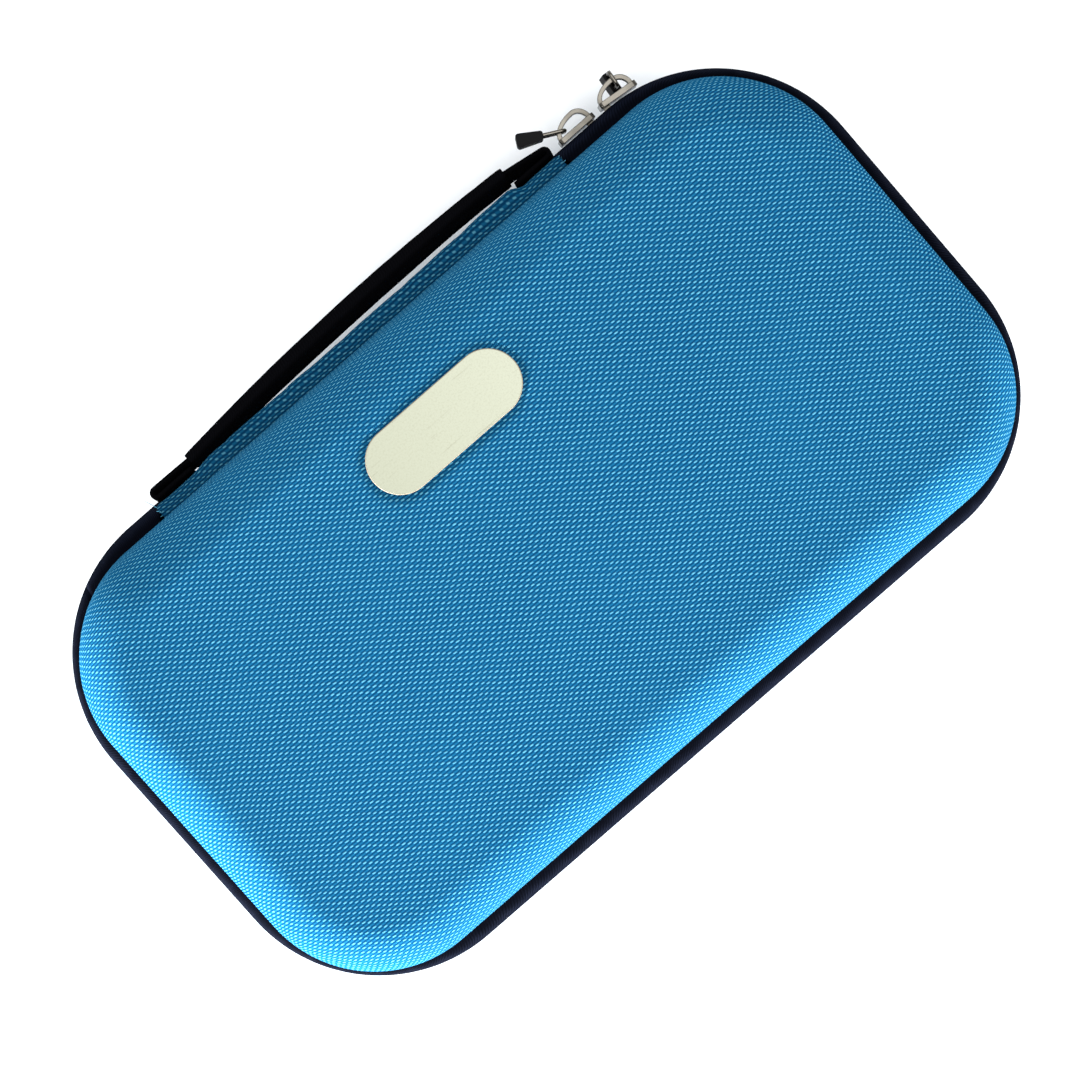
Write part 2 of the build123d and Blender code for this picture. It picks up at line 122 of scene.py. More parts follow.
def quadGrid(rows, across, columns):
    # corners of the quads between these rows, this many across, on a grid with this many columns
    i, j = np.meshgrid(np.arange(rows - 1), np.arange(across), indexing="ij")
    around = ((0, 0), (0, 1), (1, 1), (1, 0))
    return np.stack([(i + a) * columns + (j + b) % columns for a, b in around], -1).reshape(-1, 4)


def volumeOf(flat, faces):
    # signed volume V = sum(a . (b x c)) / 6 over the triangles of a closed form
    total = 0.0
    for group in faces:
        c = flat[group] - flat.mean(0)
        total += (c[:, :1] * np.cross(c[:, 1:-1], c[:, 2:])).sum()
    return total / 6


def surface(name, points, uv=None, wrapColumns=False, capEnds=False):
    # quads over the grid points[row, column]; a closed form's faces are turned outwards
    rows, columns = points.shape[:2]
    across, wide = columns - (not wrapColumns), columns + wrapColumns
    flat = points.reshape(-1, 3).astype(float)
    faces, corners = [quadGrid(rows, across, columns)], [quadGrid(rows, across, wide)]
    if capEnds:
        ring = np.arange(columns)[None]
        faces += [ring[:, ::-1], (rows - 1) * columns + ring]
        corners += [ring[:, ::-1], (rows - 1) * wide + ring]
    if wrapColumns and volumeOf(flat, faces) < 0:
        faces, corners = ([group[:, ::-1] for group in groups] for groups in (faces, corners))
    return meshObject(name, flat, faces, uv, corners)


def tube(name, points, uv=None):
    return surface(name, points, uv, wrapColumns=True, capEnds=True)


def joined(name, grids):
    # many closed tubes of the same size in one mesh: grids[k, row, column] with capped ends
    count, rows, columns = grids.shape[:3]
    ring = np.arange(columns)
    faces = [quadGrid(rows, columns, columns), np.stack([ring[::-1], (rows - 1) * columns + ring])]
    if volumeOf(grids[0].reshape(-1, 3), faces) < 0:
        faces = [group[:, ::-1] for group in faces]
    shift = (np.arange(count) * rows * columns)[:, None, None]
    return meshObject(name, grids.reshape(-1, 3).astype(float),
                      [(group[None] + shift).reshape(-1, group.shape[1]) for group in faces])


def meshObject(name, flat, faces, uv=None, corners=None):
    # writes vertices, faces of any size and the cloth's own coordinates with foreach_set
    loops = np.concatenate([group.ravel() for group in faces]).astype(np.int32)
    sizes = np.concatenate([np.full(len(group), group.shape[1]) for group in faces])
    mesh = bpy.data.meshes.new(name)
    mesh.vertices.add(len(flat))
    mesh.vertices.foreach_set("co", (flat * 0.001).astype(np.float32).ravel())
    mesh.loops.add(len(loops))
    mesh.loops.foreach_set("vertex_index", loops)
    mesh.polygons.add(len(sizes))
    mesh.polygons.foreach_set("loop_start", (np.cumsum(sizes) - sizes).astype(np.int32))
    mesh.polygons.foreach_set("use_smooth", sizes == 4)  # the caps stay flat, so ends that meet show no seam
    if uv is not None:
        picked = uv.reshape(-1, 2)[np.concatenate([group.ravel() for group in corners])]
        mesh.uv_layers.new(name="cloth").data.foreach_set("uv", picked.astype(np.float32).ravel())
    mesh.update(calc_edges=True)
    mesh.validate()
    made = bpy.data.objects.new(name, mesh)
    bpy.context.scene.collection.objects.link(made)
    return made


# outlines: rounded rectangles walked clockwise from the middle of the back

def outlineAt(share, size):
    # a point is c(share) + r n(share): c is the corner's centre, or a place between two, n turns on corners
    length, width, radius = size
    x, y = length / 2 - radius, width / 2 - radius
    marks = np.arange(runs + 1)
    turn = np.radians(np.interp(share, marks, [90, 90, 0, 0, -90, -90, -180, -180, -270, -270]))
    normal = np.stack([np.cos(turn), np.sin(turn)], -1)
    centre = np.stack([np.interp(share, marks, [0, x, x, x, x, -x, -x, -x, -x, 0]),
                       np.interp(share, marks, [y, y, y, -y, -y, -y, -y, y, y, y])], -1)
    return centre + radius * normal, normal


def runEnds(size):
    # distance along the outline to the end of each run
    length, width, radius = size
    quarter, x, y = radius * math.pi / 2, length / 2 - radius, width / 2 - radius
    return np.concatenate([[0], np.cumsum([x, quarter, 2 * y, quarter, 2 * x, quarter, 2 * y, quarter, x])])


def shareAt(distance, size=case["zip"]):
    return np.interp(distance, runEnds(size), np.arange(runs + 1))


def allRound():
    # shares of evenly spaced places all round the foot's outline
    way = np.arange(case["columns"]) / case["columns"] * runEnds(case["foot"])[-1]
    return shareAt(way, case["foot"])


# moulded halves

def crown(x, y, side):
    # height of a half's top over the parting plane; only the lid's is crowned
    if side < 0:
        return np.full(np.shape(x), case["height"])
    halfX, halfY = case["zip"][0] / 2, case["zip"][1] / 2
    return case["height"] - case["crownX"] * (x / halfX) ** 2 - case["crownY"] * (y / halfY) ** 2


def bowlProfile(side, share, inset, drop, radius, rise, rows, draft=case["innerDraft"]):
    # rings up the wall and round the shoulder: the wall is d = (h - f) tan(draft), the shoulder an arc
    # that touches it and the top's slope; also returns the length from the shoulder's top to each ring
    draft = math.radians(draft)
    foot = case["footHeight"]
    edge, normal = outlineAt(share, case["foot"])
    start = inset + radius  # where the shoulder meets the top, nearly
    near = edge - normal * (start + 1)
    step = 0.5
    top = crown(near[:, 0], near[:, 1], side) - drop
    further = near - normal * step
    slope = (crown(further[:, 0], further[:, 1], side) - drop - top) / step
    level = top - slope * (start + 1)
    lean = np.sqrt(1 + slope ** 2)
    shift = inset + radius / math.cos(draft)
    centreD = (shift + (level - radius * lean - foot) * math.tan(draft)) / (1 - slope * math.tan(draft))
    centreH = level + slope * centreD - radius * lean
    wallTop = centreH + radius * math.sin(draft)
    height = rise + (wallTop - rise) * np.linspace(0, 1, rows[0])[:, None]
    depth = inset + (height - foot) * math.tan(draft)
    turn = along(np.linspace(0, 1, rows[1] + 1)[1:, None], math.pi - draft, math.pi / 2 + np.arctan(slope))
    depth = np.concatenate([depth, centreD + radius * np.cos(turn)])
    height = np.concatenate([height, centreH + radius * np.sin(turn)])
    steps = np.hypot(np.diff(depth, axis=0), np.diff(height, axis=0))
    fromTop = np.concatenate([np.cumsum(steps[::-1], axis=0)[::-1], np.zeros((1, len(share)))])
    return edge[None] - normal[None] * depth[..., None], height, fromTop, normal


def topRings(side, boundary, target, count, drop):
    # rings between two outlines, laid on the crowned top: p = (1 - k) boundary + k target
    k = np.linspace(0, 1, count + 1)[1:, None, None]
    rings = (1 - k) * boundary[None] + k * target[None]
    return rings, crown(rings[..., 0], rings[..., 1], side) - drop


def insideSkin(side, share, inset, rise, rows):
    # the wall, the shoulder and the top of a bowl this far inside the half
    rings, heights, _, _ = bowlProfile(side, share, inset, inset, case["shoulder"] - inset, rise, rows)
    top, topHeight = topRings(side, rings[-1], rings[-1] * case["pinhole"], rows[2], inset)
    return np.concatenate([rings, top]), np.concatenate([heights, topHeight])


def raised(side, rings, heights):
    # heights from the parting plane to places in the case's frame
    return np.concatenate([rings, (case["parting"] + side * heights)[..., None]], -1)


def boxOf(node):
    return [np.array(mark) * 1000 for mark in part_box(node)]


plateLow, plateHigh = boxOf("nameplate")
plate = {
    "length": plateHigh[0] - plateLow[0], "width": plateHigh[1] - plateLow[1],
    "x": (plateLow[0] + plateHigh[0]) / 2, "y": (plateLow[1] + plateHigh[1]) / 2,
    "dentOuter": 2.3, "dentInner": 0.18,  # the cloth dips between these margins outside the plate
    "dentDepth": 1.30,
    "dentRows": 12,
    "under": [-1.5, -6.0],  # the last rings, under the plate
}


def plateRing(share, margin):
    # the plate's outline with this margin, its places matched to the foot's by their share of the way round
    size = (plate["length"] + 2 * margin, plate["width"] + 2 * margin, plate["width"] / 2 + margin)
    ends, footEnds = runEnds(size), runEnds(case["foot"])
    way = np.interp(share, np.arange(runs + 1), footEnds) / footEnds[-1] * ends[-1]
    place = np.interp(way, ends + np.arange(runs + 1) * 1e-9, np.arange(runs + 1))
    return outlineAt(place, size)[0] + (plate["x"], plate["y"])


def shell(name, side):
    # one closed surface: under the foot, up the wall, over the shoulder, across the top to the plate's
    # dent or to the middle, then the same again inside
    share = allRound()
    rows = case["lidRows"] if side > 0 else case["baseRows"]
    rings, heights, fromTop, normal = bowlProfile(side, share, case["trim"], 0, case["shoulder"],
                                                  case["footHeight"], rows, case["draft"])
    boundary = rings[-1]
    cloth = boundary[None] + normal[None] * fromTop[..., None]
    target, margins = boundary * case["pinhole"], []
    if side > 0:
        outerMargin, innerMargin = plate["dentOuter"], plate["dentInner"]
        target = plateRing(share, outerMargin)
        dips = along(np.linspace(0, 1, plate["dentRows"] + 1)[1:], outerMargin, innerMargin)
        margins = [*dips, *plate["under"]]
    top, topHeight = topRings(side, boundary, target, rows[2], 0)
    parts, levels, cloths = [rings, top], [heights, topHeight], [cloth, top]
    for margin in margins:
        ring = plateRing(share, margin)[None]
        dip = plate["dentDepth"] * smooth(outerMargin - margin, 0, outerMargin - innerMargin)
        parts.append(ring)
        levels.append(crown(ring[..., 0], ring[..., 1], side) - dip)
        cloths.append(ring)
    outer = raised(side, np.concatenate(parts), np.concatenate(levels))
    edge, edgeNormal = outlineAt(share, case["foot"])
    lips = np.array([(case["edge"], case["footHeight"]), (case["edge"], case["edgeTop"]),
                     (case["wall"] + case["lip"], case["edgeTop"])])
    rings, heights = insideSkin(side, share, case["wall"], case["edgeTop"], case["innerRows"])
    inner = raised(side, np.concatenate([edge - edgeNormal * lips[:, :1, None], rings]),
                   np.concatenate([np.repeat(lips[:, 1:], len(share), 1), heights]))[::-1]
    uv = np.concatenate([inner[..., :2], *cloths])
    return tube(name, np.concatenate([inner, outer]), np.concatenate([uv, uv[:, :1]], 1))


def liningShell(name, side):
    # a thin closed skin inside a half, 0.8 thick, turned out over the ledge as far as the binding
    share = allRound()
    edge, edgeNormal = outlineAt(share, case["foot"])
    lip, reach = (edge - edgeNormal * case["flange"])[None], np.full((1, len(share)), case["edgeTop"])
    rise, skins = case["edgeTop"] + 0.02, []
    for depth, fall in case["liningSkins"]:
        rings, heights = insideSkin(side, share, case["wall"] + depth, rise, case["liningRows"])
        skins.append(raised(side, np.concatenate([lip, rings[:1], rings]),
                            np.concatenate([reach - fall, reach - fall, heights])))
    points = np.concatenate([skins[0][::-1], skins[1]])
    uv = np.concatenate([points[..., :2] + (points[..., 2:] - case["parting"]) * 0.7, points[:, :1, :2]], 1)
    return tube(name, points, uv)


lidCover = shell("lidCover", 1)
baseCover = shell("baseCover", -1)
lidLining = liningShell("lidLining", 1)
baseLining = liningShell("baseLining", -1)
print("scene: moulded halves made")


# shader arithmetic

class Value:
    # a number, a vector or a shader at a socket; arithmetic on it makes nodes
    def __init__(self, home, socket):
        self.home, self.socket = home, socket

    def maths(self, operation, *others, clamp=False):
        return self.home.node("ShaderNodeMath", self, *others, operation=operation, use_clamp=clamp)

    def reflected(self, operation, other):
        return self.home.node("ShaderNodeMath", other, self, operation=operation)

    def __add__(self, other):
        return self.maths("ADD", other)

    def __sub__(self, other):
        return self.maths("SUBTRACT", other)

    def __mul__(self, other):
        return self.maths("MULTIPLY", other)

    def __truediv__(self, other):
        return self.maths("DIVIDE", other)

    def __rsub__(self, other):
        return self.reflected("SUBTRACT", other)

    def __rtruediv__(self, other):
        return self.reflected("DIVIDE", other)

    __radd__, __rmul__ = __add__, __mul__

    def cosine(self):
        return self.maths("COSINE")

    def absolute(self):
        return self.maths("ABSOLUTE")

    def whole(self):
        return self.maths("FLOOR")

    def most(self, other):
        return self.maths("MAXIMUM", other)

    def clamped(self):
        return self.maths("ADD", 0.0, clamp=True)

    def between(self, low, high):
        # 0 below low, 1 above high, smooth between
        return self.home.node("ShaderNodeMapRange", self, low, high, 0.0, 1.0,
                              interpolation_type="SMOOTHSTEP")


class Tree:
    # a node tree, with the one method that makes nodes in it
    def __init__(self, tree):
        self.tree = tree

    def feed(self, socket, value):
        if isinstance(value, Value):
            self.tree.links.new(value.socket, socket)
        elif value is not None:
            socket.default_value = value

    def node(self, kind, *values, output=0, **settings):
        # settings come first; then values go to inputs in order, and capitalised ones to inputs by name
        made = self.tree.nodes.new(kind)
        for key, value in settings.items():
            if key[0].islower():
                setattr(made, key, value)
        named = [(made.inputs[key], value) for key, value in settings.items() if key[0].isupper()]
        for socket, value in [*zip(made.inputs, values), *named]:
            self.feed(socket, value)
        return Value(self, made.outputs[output])

    def outputs(self, value):
        # all the outputs of the node that a value comes from
        return [Value(self, output) for output in value.socket.node.outputs]


sockets = {"colour": "Base Color", "metallic": "Metallic", "roughness": "Roughness", "normal": "Normal",
           "specular": "Specular IOR Level", "alpha": "Alpha", "sheen": "Sheen Weight"}


class Shade(Tree):
    # one material
    def __init__(self, name, metallic=0.0, roughness=0.6, colour=(0.5, 0.5, 0.5)):
        self.material = bpy.data.materials.new(name)
        self.material.use_nodes = True
        super().__init__(self.material.node_tree)
        self.surface = self.tree.nodes["Principled BSDF"]
        self.put(metallic=metallic, roughness=roughness, colour=(*colour, 1))

    def put(self, **named):
        for key, value in named.items():
            self.feed(self.surface.inputs[sockets[key]], value)

    def mixed(self, share, low, high):
        # colour mix: low + share (high - low); its colours are inputs 6 and 7
        low, high = ((*value, 1) if isinstance(value, tuple) else value for value in (low, high))
        return self.node("ShaderNodeMix", share, *[None] * 5, low, high, data_type="RGBA", output=2)

    def split(self, vector):
        # X, Y and Z of a vector
        return self.outputs(self.node("ShaderNodeSeparateXYZ", vector))

    def cloth(self):
        # the piece's own two coordinates, millimetres along the cloth
        return self.split(self.node("ShaderNodeUVMap"))[:2]

    def place(self):
        return self.node("ShaderNodeTexCoord", output="Object")

    def noise(self, scale, detail=2.0, place=None, roughness=0.5):
        return self.node("ShaderNodeTexNoise", Vector=place or self.place(), Scale=scale, Detail=detail,
                         Roughness=roughness)

    def together(self, x, y):
        return self.node("ShaderNodeCombineXYZ", x, y)

    def bump(self, height, distance, strength):
        self.put(normal=self.node("ShaderNodeBump", Strength=strength, Distance=distance, Height=height))


def times(colour, factor, lift=0.0):
    return tuple(c * factor + lift for c in colour)


# camera, lights and floor

view = {
    "turns": (("X", 3.1), ("Y", 1.3), ("Z", 41.06)),  # degrees
    "place": (-0.0020, -0.0042, 0.684),  # metres, in the camera's own directions
    "lens": 79.67,
}
turned = Matrix.Identity(3)
for axis, angle in view["turns"]:
    turned = turned @ Matrix.Rotation(math.radians(angle), 3, axis)
turned = turned.transposed()
camera = bpy.data.objects.new("camera", bpy.data.cameras.new("camera"))
camera.data.lens = view["lens"]
middle = Vector((0, 0, case["parting"] / 1000))
camera.matrix_world = Matrix.Translation(turned @ Vector(view["place"]) + middle) @ turned.to_4x4()
bpy.context.scene.collection.objects.link(camera)
bpy.context.scene.camera = camera
bpy.context.scene.view_settings.view_transform = "Standard"

room = {"sky": (0.90, 0.96, 1.0, 1), "strength": 0.50, "floor": (0.96, 0.96, 0.96), "floorReach": 5000}
world = bpy.data.worlds.new("room")
bpy.context.scene.world = world
world.use_nodes = True
roomTree = Tree(world.node_tree)
background, ending = (world.node_tree.nodes[name] for name in ("Background", "World Output"))
roomTree.feed(background.inputs["Color"], room["sky"])
roomTree.feed(background.inputs["Strength"], room["strength"])
white = roomTree.node("ShaderNodeBackground", (1, 1, 1, 1))
paths = {value.socket.name: value for value in roomTree.outputs(roomTree.node("ShaderNodeLightPath"))}
direct = paths["Is Camera Ray"].most(paths["Is Glossy Ray"]).most(paths["Is Transmission Ray"])
lighting = Value(roomTree, background.outputs[0])
roomTree.feed(ending.inputs["Surface"], roomTree.node("ShaderNodeMixShader", direct, lighting, white))

lamps = {  # place, power in watts, width and height, metres
    "side": ((-1.55, -0.44, 0.14), 172.0, 0.9, 0.22),
    "front": ((0.25, -1.5, 0.17), 64.0, 1.0, 0.22),
    "top": ((0.05, 0.0, 2.1), 57.0, 1.9, 1.9),
}
for lampName, (place, power, width, height) in lamps.items():
    lamp = bpy.data.lights.new(lampName, "AREA")
    lamp.energy, lamp.shape, lamp.size, lamp.size_y = power, "RECTANGLE", width, height
    lampObject = bpy.data.objects.new(lampName, lamp)
    lampObject.location = place
    lampObject.rotation_euler = (Vector((0, 0, 0.05)) - Vector(place)).to_track_quat("-Z", "Y").to_euler()
    bpy.context.scene.collection.objects.link(lampObject)


# materials

weave = {
    "pitchX": 1.27, "pitchY": 0.95,  # of a thread's float, millimetres
    "lean": 0.10,  # how far a float turns from the thread's line
    # the darkest tone is painted shade between the threads, the brightest a painted highlight on the floats
    "gapShade": (0.002, 0.037, 0.104), "middle": (0.010, 0.131, 0.275), "floatHighlight": (0.118, 0.405, 0.555),
    "dash": (0.20, 0.98),  # a float's edge and its full brightness
}


def wovenShell(name, shadeTint=1.0):
    # floats stand where cos(pi u / p) cos(pi v / q) is near 1, narrowed across the thread by a ridge; the
    # floats are painted a highlight colour and the gaps between threads are painted shade
    shade = Shade(name, roughness=0.62)
    u, v = shade.cloth()
    u = u + shade.noise(0.11, 2.0, shade.together(u, v)) * 1.4
    v = v + shade.noise(0.09, 2.0, shade.together(v, u)) * 1.0
    columns = (u / weave["pitchX"] + 0.5).whole()
    v = v + (u - columns * weave["pitchX"]) * weave["lean"]
    rows = (v / weave["pitchY"] + 0.5).whole()
    rise = v * (math.pi / weave["pitchY"])
    floats = (u * (math.pi / weave["pitchX"])).cosine() * rise.cosine()
    ridge = (rise * 2.0).cosine() * 0.5 + 0.5
    each = shade.node("ShaderNodeTexWhiteNoise", shade.together(columns, rows), noise_dimensions="2D")
    fine = shade.noise(3.5, 1.0, shade.together(u, v))
    dash = (floats.most(0.0).maths("POWER", 0.40) * (ridge * 0.9 + 0.1)).between(*weave["dash"])
    under = (ridge * (fine * 0.5 + 0.6) * (1.0 - dash * 0.4)).clamped()
    # painted shade in the gaps, painted highlight on the floats
    gapShade, middle, floatHighlight = (times(weave[tone], shadeTint) for tone in ("gapShade", "middle", "floatHighlight"))
    cover = shade.mixed(dash * (each * 0.2 + 0.8), shade.mixed(under, gapShade, middle), floatHighlight)
    broad = shade.noise(0.02, 3.0, shade.together(u, v))
    shade.put(colour=shade.mixed((broad - 0.5).absolute() * 0.5, cover, middle),
              specular=0.0, roughness=0.62 - dash * 0.2)
    shade.bump(dash * 0.7 + ridge * 0.3 + fine * 0.2, 0.00016, 0.7)
    return shade.material


def tapeCloth(name, colour, pitch, roughness=0.75, lean=1.0, depth=0.00010, light=1.9, seatShade=None):
    # twill on flat woven polyester: cos(2 pi (u + v) / p), crossed by a finer one the other way
    shade = Shade(name, roughness=roughness)
    u, v = shade.cloth()
    twill = ((u + v * lean) * (2 * math.pi / pitch)).cosine() * 0.5 + 0.5
    cross = ((u - v * lean * 0.6) * (2 * math.pi / (pitch * 0.5))).cosine() * 0.5 + 0.5
    grain = shade.noise(1.4, 3.0, shade.together(u, v))
    mark = (twill * 0.7 + cross * 0.3) * (grain * 0.7 + 0.6)
    lit = mark.clamped()
    # painted shade: the tape darkens towards its seat, under the shell's foot
    if seatShade:
        lit = lit * (1.0 - v.between(*seatShade) * 0.9)
    shade.put(colour=shade.mixed(lit, colour, times(colour, light)),
              roughness=roughness + (grain - 0.5) * 0.2, specular=0.004)
    shade.bump(mark, depth, 0.8)
    return shade.material


def liningKnit(name, colour):
    # fuzzy loops: cos(2 pi u / p) cos(2 pi v / q) under short soft fibres
    shade = Shade(name, roughness=0.95)
    u, v = shade.cloth()
    loops = (u * (2 * math.pi / 1.1)).cosine() * (v * (2 * math.pi / 0.8)).cosine() * 0.5 + 0.5
    fuzz = shade.noise(2.4, 4.0, shade.together(u, v), roughness=0.7)
    patch = shade.noise(0.05, 2.0, shade.together(u, v))
    shade.put(colour=shade.mixed((fuzz * 0.6 + patch * 0.4).clamped(), colour, times(colour, 1.9, 0.003)),
              specular=0.08)
    shade.bump(loops * 0.5 + fuzz * 0.8, 0.00014, 0.7)
    return shade.material


def coilNylon(name, colour):
    # a drawn filament, smooth with a faint haze
    shade = Shade(name, roughness=0.38, colour=colour)
    haze = shade.noise(420.0, 3.0)
    shade.put(roughness=0.34 + haze * 0.22, specular=0.08)
    shade.bump(haze, 0.00003, 0.4)
    return shade.material


def platedMetal(name, colour, dull):
    # cast and plated: clouds of wear, and scratches that are stretched noise
    shade = Shade(name, metallic=1.0, roughness=dull)
    lines = shade.node("ShaderNodeMapping", shade.place(), Scale=(60.0, 900.0, 900.0),
                       Rotation=(0.3, 0.2, 0.5))
    scratches = shade.noise(1.0, 4.0, lines, 0.6)
    cloud = shade.noise(90.0, 3.0)
    shade.put(colour=shade.mixed(cloud.between(0.35, 0.65), times(colour, 0.6), times(colour, 1.25)),
              roughness=dull + (scratches - 0.5) * 0.25 + (cloud - 0.5) * 0.12)
    shade.bump(scratches.between(0.55, 0.75), 0.00003, 0.06)
    return shade.material


enamel = {
    "low": (0.325, 0.336, 0.250), "high": (0.425, 0.438, 0.340),
    "brass": (0.23, 0.195, 0.140), "worn": (0.21, 0.20, 0.14),
    "rim": (0.0004, 0.0001),  # metres in from the edge where brass begins and is full
}


def plateEnamel(name):
    # pale enamel on thin brass, a little darker to one end; its bare rim follows the distance from the
    # plate's middle line, d = |(max(|x| - l, 0), y)|
    shade = Shade(name, roughness=0.34)
    x, y, _ = shade.split(shade.place())
    lines = shade.node("ShaderNodeMapping", shade.place(), Scale=(40.0, 700.0, 1.0), Rotation=(0.0, 0.0, 0.4))
    scratches = shade.noise(1.0, 5.0, lines, 0.65).between(0.60, 0.72)
    cloud = shade.noise(60.0, 3.0)
    fall = (x * 16.0 + 0.5).clamped()
    cream = shade.mixed((fall * 0.7 + cloud * 0.3).clamped(), enamel["low"], enamel["high"])
    radius, straight = plate["width"] / 2000, (plate["length"] - plate["width"]) / 2000
    beyond = ((x - plate["x"] / 1000).absolute() - straight).most(0.0)
    side = y - plate["y"] / 1000
    way = (beyond * beyond + side * side).maths("SQRT")
    cream = shade.mixed(way.between(*(radius - rim for rim in enamel["rim"])), cream, enamel["brass"])
    mottle = shade.noise(1900.0, 3.0, roughness=0.7).between(0.42, 0.72)
    shade.put(colour=shade.mixed(scratches * 0.35 + mottle * 0.26 + cloud * 0.08, cream, enamel["worn"]),
              roughness=0.30 + cloud * 0.16 + scratches * 0.12, specular=0.2)
    shade.bump(scratches * -1.0 + cloud * 0.5, 0.00004, 0.3)
    return shade.material


def mouldedRubber(name, colour):
    # satin, with a fine pebble and a little dust
    shade = Shade(name, roughness=0.55, colour=colour)
    pebble = shade.noise(1500.0, 2.0)
    dust = shade.noise(160.0, 4.0)
    shade.put(colour=shade.mixed(dust.between(0.5, 0.8) * 0.5, colour, times(colour, 3, 0.002)),
              roughness=0.48 + pebble * 0.14, specular=0.06)
    shade.bump(pebble, 0.00004, 0.5)
    return shade.material


def openMesh(name, colour, pitch=2.2):
    # threads stand where |cos| of one of three crossed grids is near 1, and between them the net is open
    shade = Shade(name, roughness=0.7, colour=colour)
    u, v = shade.cloth()
    one = ((u + v * 0.58) * (math.pi / pitch)).cosine().absolute()
    two = ((u - v * 0.58) * (math.pi / pitch)).cosine().absolute()
    three = (v * (math.pi / pitch * 1.16)).cosine().absolute()
    solid = one.most(two).most(three * 0.98).between(0.905, 0.93)
    thread = shade.noise(4.0, 2.0, shade.together(u, v))
    shade.put(alpha=solid, colour=shade.mixed(thread, colour, times(colour, 2.2)), sheen=0.1)
    shade.bump(thread, 0.00008, 0.5)
    return shade.material


shellFabric = wovenShell("shellFabric")
# the spine's cloth is the shell's at half brightness: painted shade
spineFabric = wovenShell("spineFabric", 0.5)
navyTape = tapeCloth("navyTape", (0.0010, 0.0013, 0.0026), 1.0, light=8.0, seatShade=(6.5, 10.0))
blackNylon = coilNylon("blackNylon", (0.010, 0.011, 0.014))
threadNylon = coilNylon("threadNylon", (0.09, 0.30, 0.42))
bindingTape = tapeCloth("bindingTape", (0.003, 0.003, 0.005), 1.1)
webbing = tapeCloth("webbing", (0.0010, 0.0010, 0.0013), 1.5, depth=0.00018)
gripFabric = tapeCloth("gripFabric", (0.0012, 0.0012, 0.0016), 0.9, lean=0.4, depth=0.00012, roughness=0.7)
elastic = tapeCloth("elastic", (0.008, 0.008, 0.010), 1.6, lean=0.0, depth=0.0003)
patchCloth = tapeCloth("patchCloth", (0.012, 0.012, 0.015), 0.7)
lining = liningKnit("lining", (0.014, 0.016, 0.020))
meshNet = openMesh("meshNet", (0.010, 0.011, 0.014))
satinMetal = platedMetal("satinMetal", (0.072, 0.067, 0.058), 0.24)
pullRubber = mouldedRubber("pullRubber", (0.0016, 0.0016, 0.002))
plateFace = plateEnamel("plateFace")
glueFilm = mouldedRubber("glueFilm", (0.30, 0.28, 0.22))
print("scene: materials made")


def dress(piece, material, body, slot, *nodes):
    # material and body of a finished piece, and the solids it stands for, which are hidden; a piece given two
    # bodies is only fixed where it stands; the slot is not used
    piece.data.materials.clear()
    piece.data.materials.append(material)
    if isinstance(body, str):
        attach(piece, body)
    else:
        first, second, start, end = body
        tuple(v / 1000 for v in start)
        tuple(v / 1000 for v in end)
        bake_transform(piece)
    if nodes:
        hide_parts(*nodes)
    return piece


reach = np.linspace(-room["floorReach"], room["floorReach"], 3)
floor = surface("floor", grid(reach[::-1, None], reach, 0.0))
floor.data.materials.append(Shade("floorPaint", roughness=0.9, colour=room["floor"]).material)

dress(lidCover, shellFabric, "lid", "shell_fabric", "lid_shell")
dress(baseCover, shellFabric, "base", "shell_fabric", "base_shell")
dress(lidLining, lining, "lid", "lining_fabric", "lid_lining")
dress(baseLining, lining, "base", "lining_fabric", "base_lining")


# zip tapes

tape = {
    "thickness": 0.7,
    "gap": 1.0,  # between the tapes' edges
    "inset": 0.40,
    "lap": 1.2,  # over the spine's ends
    "seat": 2.4,  # where it goes up inside the pressed edge
    "pitch": 2.0, "columns": 34,  # of the surface, along the tape and across it
    "width": 17.0, "reach": 6.0,  # along the cloth, and straight across from the zip to the seat
    "pucker": 0.35, "puckerPitch": 11.0,
    # k runs 0 at the zip to 1 at the seat; heights from the parting plane
    "curve": [(0, 0.5), (0, 1.2), (0.01, 2.2), (0.03, 3.0), (0.09, 3.8), (0.18, 4.6), (0.30, 5.3),
              (0.48, 5.9), (0.68, 6.45), (0.88, 6.9), (0.985, 7.6), (1, 8.6), (1, 10.5), (1, 12.9)],
}


def zipLine(distance):
    # place and outward normal on the zip line; distance runs clockwise from the spine's right end
    return outlineAt(shareAt(distance + spine["right"]), case["zip"])


zipEnd = runEnds(case["zip"])[-1] - (spine["right"] - spine["left"])  # where the zip reaches the left end
twistEnd = 110.3  # the lid's tape ends are separate pieces up to this place along X
corner = case["zip"][2]
cornerStart = case["zip"][0] / 2 - corner
runToCorner = cornerStart - spine["right"]
twistRight = runToCorner + corner * math.asin((twistEnd - cornerStart) / corner)
twistLeft = zipEnd - (cornerStart + spine["left"]) - corner * math.asin((twistEnd - cornerStart) / corner)


